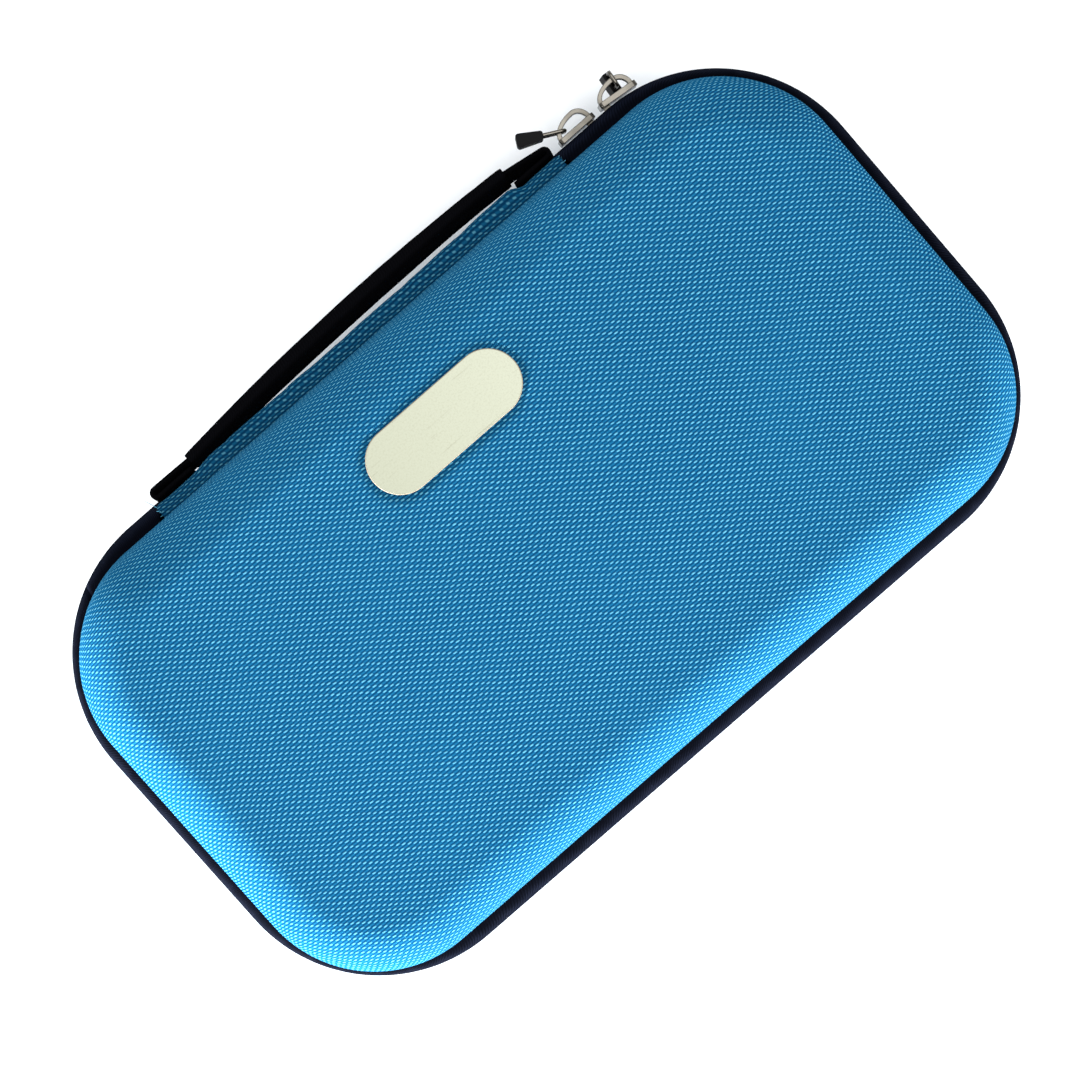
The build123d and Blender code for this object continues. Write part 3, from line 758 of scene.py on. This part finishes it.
def tapeSurface(name, side, first, last):
    # two skins p = zip + k (seat - zip) + pucker, the second a thickness in along the curve's normal
    count = int((last - first) / tape["pitch"]) + 1
    distance = np.linspace(first, last, count)
    outer, normal = zipLine(distance)
    seat, _ = outlineAt(shareAt(distance + spine["right"]), case["foot"])
    curve = np.array(tape["curve"])
    fine = np.linspace(0, 1, tape["columns"])
    k, h = (np.interp(fine, np.linspace(0, 1, len(curve)), curve[:, axis]) for axis in (0, 1))
    slopes = unit(np.stack([np.gradient(h), -tape["reach"] * np.gradient(k)], -1))
    puff = wander(distance, tape["puckerPitch"] / 6.3, turn=side)[:, None]
    fold = smooth(fine, 0.2, 0.45) * (1 - smooth(fine, 0.62, 0.85))
    start, stop = outer - normal * tape["inset"], seat - normal * tape["seat"]
    ground = start[:, None] * (1 - k[:, None]) + stop[:, None] * k[:, None]
    skins = []
    for depth in (0.0, tape["thickness"]):
        out = tape["pucker"] * fold * puff - depth * slopes[:, 0]
        height = h + depth * slopes[:, 1] + 0.25 * fold * np.roll(puff, 2, 0)
        height = np.maximum(height, tape["gap"] / 2)
        skins.append(raised(side, ground + normal[:, None] * out[..., None], height))
    across = np.concatenate([fine, fine[::-1]]) * tape["width"]
    return tube(name, np.concatenate([skins[0], skins[1][:, ::-1]], 1),
                grid(distance[:, None], np.append(across, 2 * tape["width"])))


hinge = {"y": 80.75, "z": 31.0, "start": 24.0, "end": 38.0}
twistHeight = 7.0  # height over which the span's share grows by a half


def twistBlend(middle, sideways):
    # the two bodies and a span between them, g / |g|^2, whose share is half at the spine's end on the parting
    # plane and whole at the corner
    gx, gz = 0.5 / (twistEnd - spine["right"]), 0.5 / twistHeight
    scale = 1 / (gx ** 2 + gz ** 2)
    halfX, halfZ = sideways * gx * scale / 2, gz * scale / 2
    return ("base", "lid", (middle - halfX, hinge["y"], hinge["z"] - halfZ),
            (middle + halfX, hinge["y"], hinge["z"] + halfZ))


turnRight, turnLeft = twistBlend(spine["right"], 1), twistBlend(spine["left"], -1)
for pieceName, side, first, last, body, node in (
        ("lidTape", 1, twistRight, twistLeft, "lid", "lid_zip_tape"),
        ("lidTapeRight", 1, -tape["lap"], twistRight, turnRight, "lid_zip_end_right"),
        ("lidTapeLeft", 1, twistLeft, zipEnd + tape["lap"], turnLeft, "lid_zip_end_left"),
        ("baseTape", -1, -tape["lap"], zipEnd + tape["lap"], "base", "base_zip_tape")):
    dress(tapeSurface(pieceName, side, first, last), navyTape, body, "zip_tape", node)


coil = {
    "pitch": 3.0, "wire": 0.42, "depth": 0.52, "middle": 1.85, "reach": 2.6, "hook": 0.7,
    "steps": 12, "sides": 7,
    "open": 8.0, "parts": 8.0,  # past the corner, where the halves part, and over how far to each side
    "ends": 2.2,
}


def coilTube(name, side, first, last, shift):
    # helix p(s) = line(s) + a sin(w s) inwards - b cos(w s) upwards, in a round wire
    count = int((last - first) / coil["pitch"] * coil["steps"]) + 1
    distance = np.linspace(first, last, count)
    base, normal = zipLine(distance)
    parting = runToCorner + corner * math.pi / 2 + coil["open"]
    apart = 1 - smooth(distance, parting - coil["parts"], parting + coil["parts"])
    low = -coil["hook"] * (1 - apart) + tape["gap"] / 2 * apart + coil["wire"]
    high = coil["reach"] - coil["wire"]
    turn = 2 * math.pi * (distance / coil["pitch"] + shift)
    inward = coil["middle"] + coil["depth"] * np.sin(turn)
    height = (low + high) / 2 - (high - low) / 2 * np.cos(turn)
    line = raised(side, base - normal * inward[:, None], height)
    tangent = unit(np.gradient(line, axis=0))
    sidewise = unit(np.cross(tangent, np.concatenate([normal, np.zeros((count, 1))], 1)))
    other = np.cross(tangent, sidewise)
    around = circle(coil["sides"])[:, None]
    ring = coil["wire"] * (np.cos(around) * sidewise[:, None] + np.sin(around) * other[:, None])
    return tube(name, line[:, None] + ring)


for pieceName, side, first, last, shift, body, node in (
        ("lidCoil", 1, twistRight, twistLeft, 0.0, "lid", "lid_zip_teeth"),
        ("lidCoilRight", 1, coil["ends"], twistRight, 0.0, turnRight, "lid_zip_end_right"),
        ("lidCoilLeft", 1, twistLeft, zipEnd - coil["ends"], 0.0, turnLeft, "lid_zip_end_left"),
        ("baseCoil", -1, coil["ends"], zipEnd - coil["ends"], 0.5, "base", "base_zip_teeth")):
    dress(coilTube(pieceName, side, first, last, shift), blackNylon, body, "coil_nylon", node)
print("scene: zip made")


# spine: a padded strip with a crease along each shell's foot

spineCover = {
    "back": 71.65, "backHalf": 6.9, "backRows": 16,
    "columns": 150, "rows": 22,
    "bulge": 1.1, "more": 0.7,  # more of it towards the right end
    "start": (-67.6, -58.0), "end": (-58.5, -53.5),  # where the bulge grows: along X, and along -X
    "moreFrom": (18, 44),
    "front": (73.6, 75.5), "full": (74.5, 77.2),  # y from which the cloth ripples, and bulges
    "curve": [(71.65, 6.9), (72.2, 6.85), (72.7, 6.2), (73.2, 5.6), (73.9, 5.75), (75.0, 5.75), (76.2, 5.35),
              (76.95, 4.5), (77.3, 3.3), (77.42, 1.8), (77.35, 0.6), (77.35, 0)],
}
hingeBlend = ("base", "lid", (0, hinge["y"], hinge["start"]), (0, hinge["y"], hinge["end"]))


def stripLoop(curve, rows):
    # the upper half's curve made finer and mirrored below the parting plane, as (y, height)
    curve = np.array(curve)
    length = lengthsOf(curve)
    even = np.linspace(0, length[-1], rows)
    half = np.stack([np.interp(even, length, curve[:, 0]), np.interp(even, length, curve[:, 1])], -1)
    return np.concatenate([half, (half * (1, -1))[::-1][1:]])


def spineSurface(name):
    # the section carried along X, y = section + ripple + bulge, where the front is free of the handle's tails
    x = np.linspace(spine["left"], spine["right"], spineCover["columns"])
    height = np.linspace(-spineCover["backHalf"], spineCover["backHalf"], spineCover["backRows"])[1:-1]
    loop = np.concatenate([stripLoop(spineCover["curve"], spineCover["rows"]),
                           np.stack([np.full(len(height), spineCover["back"]), height], -1)])
    front = smooth(loop[:, 0], *spineCover["front"])[None]
    upper = (loop[:, 1] > 0)[None]
    ends = smooth(np.minimum(x - spine["left"], spine["right"] - x), 0, 7)[:, None]
    ripple = 0.16 * wander(x, 9.0)[:, None] + 0.12 * wander(x, 3.7, turn=1.3)[:, None] * upper
    y = loop[:, 0] + front * (ripple - 0.25) * (0.4 + 0.6 * ends)
    z = loop[:, 1] + front * 0.16 * wander(x, 6.0, turn=2.2)[:, None] * ends
    bulge = spineCover["bulge"] + spineCover["more"] * smooth(x, *spineCover["moreFrom"])
    free = smooth(x, *spineCover["start"]) * smooth(-x, *spineCover["end"]) * bulge
    y += free[:, None] * smooth(loop[:, 0], *spineCover["full"])[None]
    around = lengthsOf(loop)
    return tube(name, grid(x[:, None], y, case["parting"] + z),
                grid(x[:, None], np.append(around, around[-1] + 1) + 70.0))


dress(spineSurface("spineCover"), spineFabric, hingeBlend, "spine_fabric", "spine_cover")

fray = {"count": 16, "thick": 0.11, "longest": 3.4}


def frayed(name):
    # loose threads at the strip's cut ends: p(t) = start + t length direction + curl t^2
    count = fray["count"]
    ends = seed.integers(0, 2, count)
    start = np.stack([np.where(ends == 0, spine["left"] + 0.2, spine["right"] - 0.2),
                      seed.uniform(73.4, 76.6, count), case["parting"] + seed.uniform(5.0, 5.7, count)], -1)
    length = seed.uniform(0.3, 0.8, count)
    length[0], ends[0], start[0] = fray["longest"], 0, (spine["left"] + 0.3, 76.3, case["parting"] + 5.4)
    direction = np.stack([np.where(ends == 0, -0.5, 0.5), seed.normal(0, 0.35, count),
                          seed.uniform(0.2, 0.8, count)], -1)
    direction[0] = (-0.25, 0.9, 0.6)
    curl = seed.normal(0, 0.5, (count, 3))
    t = np.linspace(0, 1, 7)[None, :, None]
    line = start[:, None] + t * (length[:, None] * direction)[:, None] + t**2 * curl[:, None]
    around = circle(5)
    ring = np.stack([0.5 * np.cos(around), 0.9 * np.cos(around), np.sin(around)], -1) * fray["thick"]
    return joined(name, line[:, :, None] + ring[None, None])


dress(frayed("frayedThreads"), threadNylon, hingeBlend, "spine_fabric", "spine_cover")

backing = {"face": 71.6, "back": 70.85, "half": 12.9, "rows": 40, "columns": 76}


def liningStrip(name):
    # a flat strip over the spine's inside; its back ripples, least at its edges
    x = np.linspace(spine["left"], spine["right"], backing["columns"])[:, None]
    heights = np.linspace(-backing["half"], backing["half"], backing["rows"])
    z = np.concatenate([heights, heights[::-1]])
    inner = np.arange(len(z)) >= backing["rows"]
    ripple = 0.12 * wander(x, 8.0) * (1 - (z / 13) ** 2) * inner
    y = np.where(inner, backing["back"], backing["face"]) + ripple
    return tube(name, grid(x, y, case["parting"] + z), grid(x, np.append(z, 13.5)))


dress(liningStrip("spineLining"), bindingTape, hingeBlend, "lining_fabric", "spine_lining")

binding = {
    "reach": 0.8, "columns": 300, "ripple": 0.08,
    "section": [(0.02, 6.8), (0.55, 6.65), (0.78, 7.1), (0.8, 8.2), (0.72, 9.0), (0.8, 9.8), (0.8, 11.6),
                (0.7, 12.5), (0.4, 12.9), (0.02, 12.9)],  # depth past the tape, height from the parting plane
}


def bindingSurface(name, side):
    # tape folded over the seam inside: its section carried along the foot's outline
    distance = np.linspace(0.1, zipEnd - 0.1, binding["columns"])
    edge, normal = outlineAt(shareAt(distance + spine["right"]), case["foot"])
    inner = tape["seat"] + tape["thickness"]
    beyond, height = np.array(binding["section"]).T
    ripple = binding["ripple"] * wander(distance, 2.4, turn=side)[:, None]
    depth = inner + beyond + ripple * (beyond > 0.3)
    ground = edge[:, None] - normal[:, None] * depth[..., None]
    return tube(name, raised(side, ground, np.broadcast_to(height, depth.shape)),
                grid(distance[:, None], np.append(height, 14.0)))


dress(bindingSurface("lidBinding", 1), bindingTape, "lid", "binding_tape", "lid_binding")
dress(bindingSurface("baseBinding", -1), bindingTape, "base", "binding_tape", "base_binding")


# metal and moulded pieces: copies of the solids, merged, with worn edges rounded

def softened(name, node, width):
    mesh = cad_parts[node].data.copy()
    made = bpy.data.objects.new(name, mesh)
    bpy.context.scene.collection.objects.link(made)
    form = bmesh.new()
    form.from_mesh(mesh)
    bmesh.ops.remove_doubles(form, verts=form.verts, dist=1e-6)
    bmesh.ops.dissolve_limit(form, angle_limit=math.radians(1), verts=form.verts, edges=form.edges)
    form.to_mesh(mesh)
    form.free()
    for key in [*made.keys()]:
        del made[key]
    bevel = made.modifiers.new("edges", "BEVEL")
    bevel.width, bevel.segments, bevel.limit_method = width / 1000, 3, "ANGLE"
    bevel.angle_limit = math.radians(35)
    return made


for node, material, width, body, slot in (
        ("slider_1_body", satinMetal, 0.22, "slider_1", "slider_metal"),
        ("slider_2_body", satinMetal, 0.22, "slider_2", "slider_metal"),
        ("slider_1_bridge", satinMetal, 0.25, "slider_1", "slider_metal"),
        ("slider_2_bridge", satinMetal, 0.25, "slider_2", "slider_metal"),
        ("pull_1_tab", pullRubber, 0.25, "pull_1", "pull_rubber"),
        ("pull_2_tab", pullRubber, 0.25, "pull_2", "pull_rubber"),
        ("nameplate", plateFace, 0.08, "lid", "plate_metal"),
        ("zip_stops", blackNylon, 0.3, "base", "coil_nylon")):
    dress(softened(node + "_finished", node, width), material, body, slot, node)
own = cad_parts["nameplate_glue"].data
own.materials.clear()
own.materials.append(glueFilm)

wire = {"thick": 1.1, "bend": 1.15, "steps": 96, "sides": 16}


def wireLink(name, node):
    # round wire bent to a rounded rectangle; its plane is that of the solid's three main directions,
    # the eigenvectors of the covariance of its corners
    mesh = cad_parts[node].data
    spots = np.empty(len(mesh.vertices) * 3)
    mesh.vertices.foreach_get("co", spots)
    spots = spots.reshape(-1, 3) * 1000
    axes = np.linalg.eigh(np.cov((spots - spots.mean(0)).T))[1].T[::-1]
    reach = spots @ axes.T
    middle, span = (reach.max(0) + reach.min(0)) / 2, reach.max(0) - reach.min(0)
    size = (span[0] - wire["thick"], span[1] - wire["thick"], wire["bend"])
    way = np.linspace(0, runEnds(size)[-1], wire["steps"] + 1)
    flat, normal = outlineAt(shareAt(way, size), size)
    around = circle(wire["sides"])
    ground = flat[:, None] + wire["thick"] / 2 * np.cos(around)[:, None] * normal[:, None]
    ring = grid(ground[..., 0], ground[..., 1], wire["thick"] / 2 * np.sin(around))
    points = (ring + middle) @ axes
    points[-1] = points[0]
    return surface(name, points, wrapColumns=True)


for node, body in (("pull_1_link", "pull_1"), ("pull_2_link", "pull_2")):
    dress(wireLink(node + "_round", node), satinMetal, body, "slider_metal", node)
print("scene: hardware made")


# handle: a sewn grip on webbing, in a plane that leans with the tails

handle = {
    "lean": 17.0, "y": 77.17, "z": 26.5,
    "left": (-64.8, 3.2), "middle": (0.0, 7.1), "right": (56.6, 5.7),
    "width": 11.0, "thickness": 3.6,
    "stitch": 2.5,  # from the grip's edges
    "stitchPitch": 2.6, "stitchLength": 1.7,
    "fuller": 0.9,  # on the side towards the spine
    "groove": 0.28, "grooveWidth": 0.45, "foldRise": 0.12,
    "webWidth": 9.0, "webThickness": 1.5, "fold": 2.1, "tail": 12.0,
}
leanTurn = math.radians(handle["lean"])


def leaning(x, out, up):
    # the handle's plane: y = y0 + out cos + up sin, z = z0 - out sin + up cos
    return grid(x, handle["y"] + out * math.cos(leanTurn) + up * math.sin(leanTurn),
                handle["z"] - out * math.sin(leanTurn) + up * math.cos(leanTurn))


def gripArc(x):
    # how far out the grip's line is, and its slope, on the circle through three places round (ux, uy)
    (ax, ay), (bx, by), (cx, cy) = handle["left"], handle["middle"], handle["right"]
    d = 2 * (ax * (by - cy) + bx * (cy - ay) + cx * (ay - by))
    aa, bb, cc = ax**2 + ay**2, bx**2 + by**2, cx**2 + cy**2
    ux = (aa * (by - cy) + bb * (cy - ay) + cc * (ay - by)) / d
    uy = (aa * (cx - bx) + bb * (ax - cx) + cc * (bx - ax)) / d
    rise = np.sqrt(math.hypot(ax - ux, ay - uy) ** 2 - (x - ux) ** 2)
    return uy + rise, -(x - ux) / rise


def besideArc(x, across, up):
    # a place this far across the grip's line and this far up its plane
    out, slope = gripArc(x)
    normal = 1 / np.sqrt(1 + slope**2)
    return leaning(x - across * (slope * normal), out + across * normal, up)


def gripSurface(name):
    # a superellipse carried along the arc, with a groove at each row of stitches
    x = np.linspace(handle["left"][0], handle["right"][0], 240)[:, None]
    half, thick = handle["width"] / 2, handle["thickness"] / 2
    turn = circle(72)
    up, depth = squared(np.sin(turn), half, 0.42), squared(np.cos(turn), thick, 0.62)
    seam = half - handle["stitch"]
    groove = np.exp(-((np.abs(up) - seam) / handle["grooveWidth"]) ** 2) * (np.abs(depth) > thick * 0.6)
    fold = smooth(np.abs(up), seam - 0.2, seam + 0.6)
    swell = 0.05 * wander(x, 7.0) + 0.03 * wander(x, 2.2, turn=2)
    ends = smooth(np.minimum(x - x[0], x[-1] - x), -0.4, 1.6)
    fuller = handle["fuller"] * np.sin(np.linspace(0, math.pi, len(x)))[:, None] ** 1.5 * (depth < 0)
    sunk = handle["groove"] * groove - handle["foldRise"] * fold - swell
    across = depth * (0.90 + 0.08 * ends) - fuller - np.sign(depth) * sunk
    tall = up * (0.965 + 0.03 * ends) + 0.10 * wander(x, 5.0, turn=1) * (np.abs(up) > half * 0.8)
    return tube(name, besideArc(x, across, tall), grid(x, np.linspace(0, 29, 73)))


def webSurface(name, line):
    # flat webbing along a line of (x, out) places in the handle's plane
    line = np.array(line, float)
    length = lengthsOf(line)
    even = np.linspace(0, length[-1], max(int(length[-1] / 0.5), 8))
    line = np.stack([np.interp(even, length, line[:, 0]), np.interp(even, length, line[:, 1])], -1)
    tangent = unit(np.gradient(line, axis=0))
    normal = np.stack([-tangent[:, 1], tangent[:, 0]], -1)
    turn = circle(28)
    up = squared(np.sin(turn), handle["webWidth"] / 2, 0.25)
    depth = squared(np.cos(turn), 0.96 * (handle["webThickness"] / 2), 0.4)
    place = line[:, None] + normal[:, None] * depth[None, :, None]
    return tube(name, leaning(place[..., 0], place[..., 1], up + 0.06 * wander(even, 3.0)[:, None]),
                grid(even[:, None], np.linspace(0, 21, 29)))


def stitchRow(name, up):
    # short thread loops that dive into the cloth: height = h sin(pi t) over each stitch
    start = np.arange(handle["left"][0] + 2.0, handle["right"][0] - 3.5, handle["stitchPitch"])
    t = np.linspace(0, 1, 8)
    x = start[:, None] + handle["stitchLength"] * t
    lift = handle["thickness"] / 2 * 0.96 - 0.30 + 0.24 * np.sin(math.pi * t)
    around = circle(6)
    across, tall = lift[:, None] + 0.13 * np.cos(around), up + 0.17 * np.sin(around)
    return joined(name, besideArc(x[..., None], across, tall))


dress(gripSurface("grip"), gripFabric, "handle", "grip_fabric", "handle_grip", "handle_core")
for pieceName, side in (("gripStitchesTop", 1), ("gripStitchesLow", -1)):
    row = stitchRow(pieceName, side * (handle["width"] / 2 - handle["stitch"]))
    dress(row, blackNylon, "handle", "grip_fabric", "handle_grip")
half = handle["webThickness"] / 2
bend = handle["fold"] - half
for pieceName, endX, inward, node in (("anchorLeft", spine["left"], 1, "handle_anchor_left"),
                                      ("anchorRight", spine["right"], -1, "handle_anchor_right")):
    middle = endX + inward * handle["fold"]
    fold = [(middle - inward * bend * math.cos(a), handle["fold"] + bend * math.sin(a))
            for a in np.linspace(-math.pi / 2, math.pi / 2, 22)]
    line = [(middle + inward * handle["tail"], half), *fold]
    dress(webSurface(pieceName, line), webbing, "base", "handle_webbing", node)
for pieceName, endX, inward, (gripX, gripOut), node in (
        ("strapLeft", spine["left"], 1, handle["left"], "handle_end_left"),
        ("strapRight", spine["right"], -1, handle["right"], "handle_end_right")):
    foldX, foldOut = endX + inward * handle["fold"], 2 * handle["fold"] - half
    line = [(foldX, foldOut), (gripX + inward * 1.2, gripOut + 0.02)]
    start, end = (tuple(leaning(x, out, 0.0)) for x, out in ((foldX + inward * 0.5, foldOut),
                                                             (gripX - inward * 0.3, gripOut)))
    dress(webSurface(pieceName, line), webbing, ("base", "handle", start, end), "handle_webbing", node)
print("scene: handle made")


# inside: mesh pocket with a hem, elastic strap with sewn patches

inside = {"pocketEdge": -15.0, "pocketZ": 43.6, "sag": 0.3, "patchLength": 10.0, "ribPitch": 1.6}


def pocketSurface(name):
    # rows run from the mouth to the spine, each as wide as the outline allows
    inset = tape["seat"] + tape["thickness"] + binding["reach"] + 0.05
    length, width, radius = (value - inset * factor for value, factor in zip(case["foot"], (2, 2, 1)))
    straight = width / 2 - radius
    y = np.concatenate([np.linspace(inside["pocketEdge"], straight, 20),
                        straight + radius * np.sin(np.linspace(0, math.pi / 2, 24)[1:] * 0.999)])[:, None]
    reach = np.clip(y - straight, 0, radius)
    across = np.linspace(-1, 1, 90)
    x = across * (length / 2 - radius + np.sqrt(radius**2 - reach**2))
    sag = (1 - across ** 4) * np.sin(np.clip((y - y[0]) / (y[-1] - y[0]), 0, 1) * math.pi)
    z = inside["pocketZ"] - 0.25 + inside["sag"] * sag * (0.6 + 0.4 * wander(x, 21.0))
    flat = grid(x, y, z)
    return surface(name, flat, flat[..., :2])


def padded(name, low, high, rows, bulge, power=0.3):
    # a strip along X between two corners, its section a superellipse in Y and Z
    x = np.linspace(low[0], high[0], rows)[:, None]
    turn = circle(56)
    y = squared(np.cos(turn), 1.0, power) * (high[1] - low[1]) / 2 + (high[1] + low[1]) / 2
    z = squared(np.sin(turn), 1.0, power + 0.3) * (high[2] - low[2]) / 2 + (high[2] + low[2]) / 2
    return tube(name, grid(x, y, z + bulge * wander(x, 6.0) * (np.sin(turn) > 0.2)),
                grid(x, np.linspace(0, 60, 57)))


def strapSurface(name, low, high):
    # a superellipse in X and Z carried along Y, its top ribbed by cos(2 pi x / p)
    y = np.linspace(low[1], high[1], 100)[:, None]
    turn = circle(120)
    x = squared(np.cos(turn), (high[0] - low[0]) / 2, 0.5)
    rib = (0.10 * np.cos(x * 2 * math.pi / inside["ribPitch"]) - 0.12) * (np.sin(turn) > 0)
    z = (low[2] + high[2]) / 2 + squared(np.sin(turn), (high[2] - low[2]) / 2, 0.3) + rib
    return tube(name, grid(x, y, z), grid(np.append(x, x[0]), y))


pocket = dress(pocketSurface("pocket"), meshNet, "lid", "mesh", "mesh_pocket")
dress(padded("pocketHem", *boxOf("pocket_hem"), 120, 0.06), bindingTape, "lid", "binding_tape", "pocket_hem")
strap = strapSurface("retainingStrap", *boxOf("retaining_strap"))
dress(strap, elastic, "base", "elastic", "retaining_strap")
low, high = boxOf("strap_patches")
frontEdge, backEdge = low[1] + inside["patchLength"], high[1] - inside["patchLength"]
for pieceName, start, end in (("patchFront", low[1], frontEdge), ("patchBack", backEdge, high[1])):
    patch = padded(pieceName, (low[0], start, low[2]), (high[0], end, high[2]), 40, 0.05, power=0.35)
    dress(patch, patchCloth, "base", "patch", "strap_patches")
print("scene: inside made")
